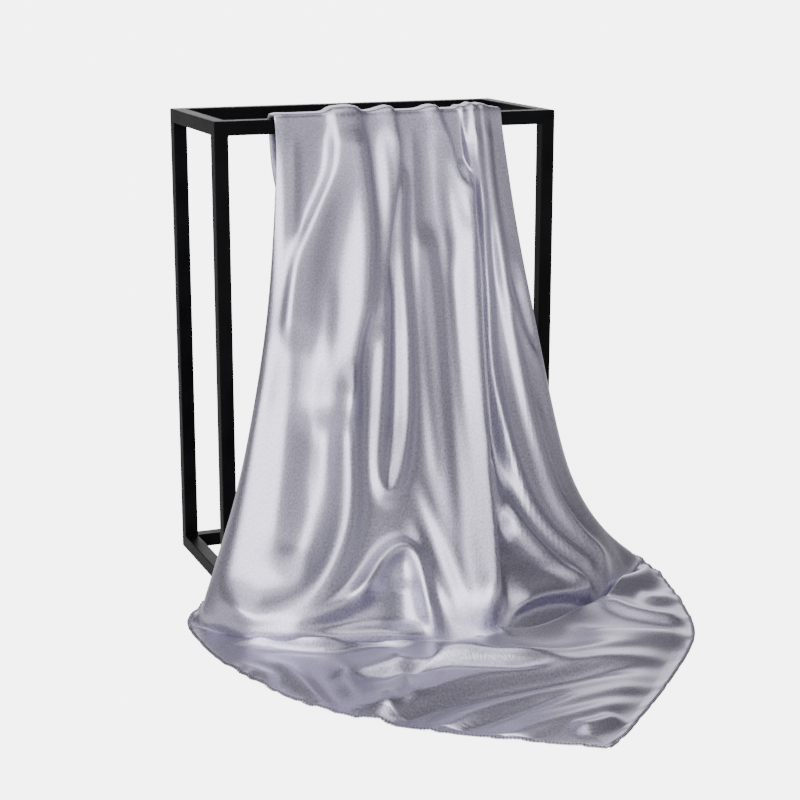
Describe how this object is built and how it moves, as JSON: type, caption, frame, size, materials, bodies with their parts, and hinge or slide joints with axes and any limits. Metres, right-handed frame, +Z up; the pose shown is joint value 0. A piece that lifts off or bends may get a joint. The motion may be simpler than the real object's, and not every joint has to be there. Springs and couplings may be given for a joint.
{
  "type": "square satin scarf draped on a box frame stand",
  "caption": "Square satin scarf hung by its middle over the front rail of a square-tube box frame, its front corner pooled on the floor.",
  "frame": {"origin": "centre of the footprint, on the floor that the stand and the cloth rest on", "axes": "+Z up, +Y towards the back of the stand, +X to the right seen from the front, where the scarf falls"},
  "size_m": [0.539, 0.6862, 0.5167],
  "materials": {
    "satin": "satin",
    "satin_hem": "satin, machine-rolled",
    "black_steel": "satin black paint"
  },
  "bodies": {
    "root": {"scarf_panel": "satin", "hem_front_left": "satin_hem", "hem_front_right": "satin_hem", "hem_back_left": "satin_hem", "hem_back_right": "satin_hem", "leg_front_left": "black_steel", "leg_front_right": "black_steel", "leg_back_left": "black_steel", "leg_back_right": "black_steel", "rail_bottom_front": "black_steel", "rail_bottom_back": "black_steel", "rail_bottom_left": "black_steel", "rail_bottom_right": "black_steel", "rail_top_front": "black_steel", "rail_top_back": "black_steel", "rail_top_left": "black_steel", "rail_top_right": "black_steel"}
  },
  "joints": []
}
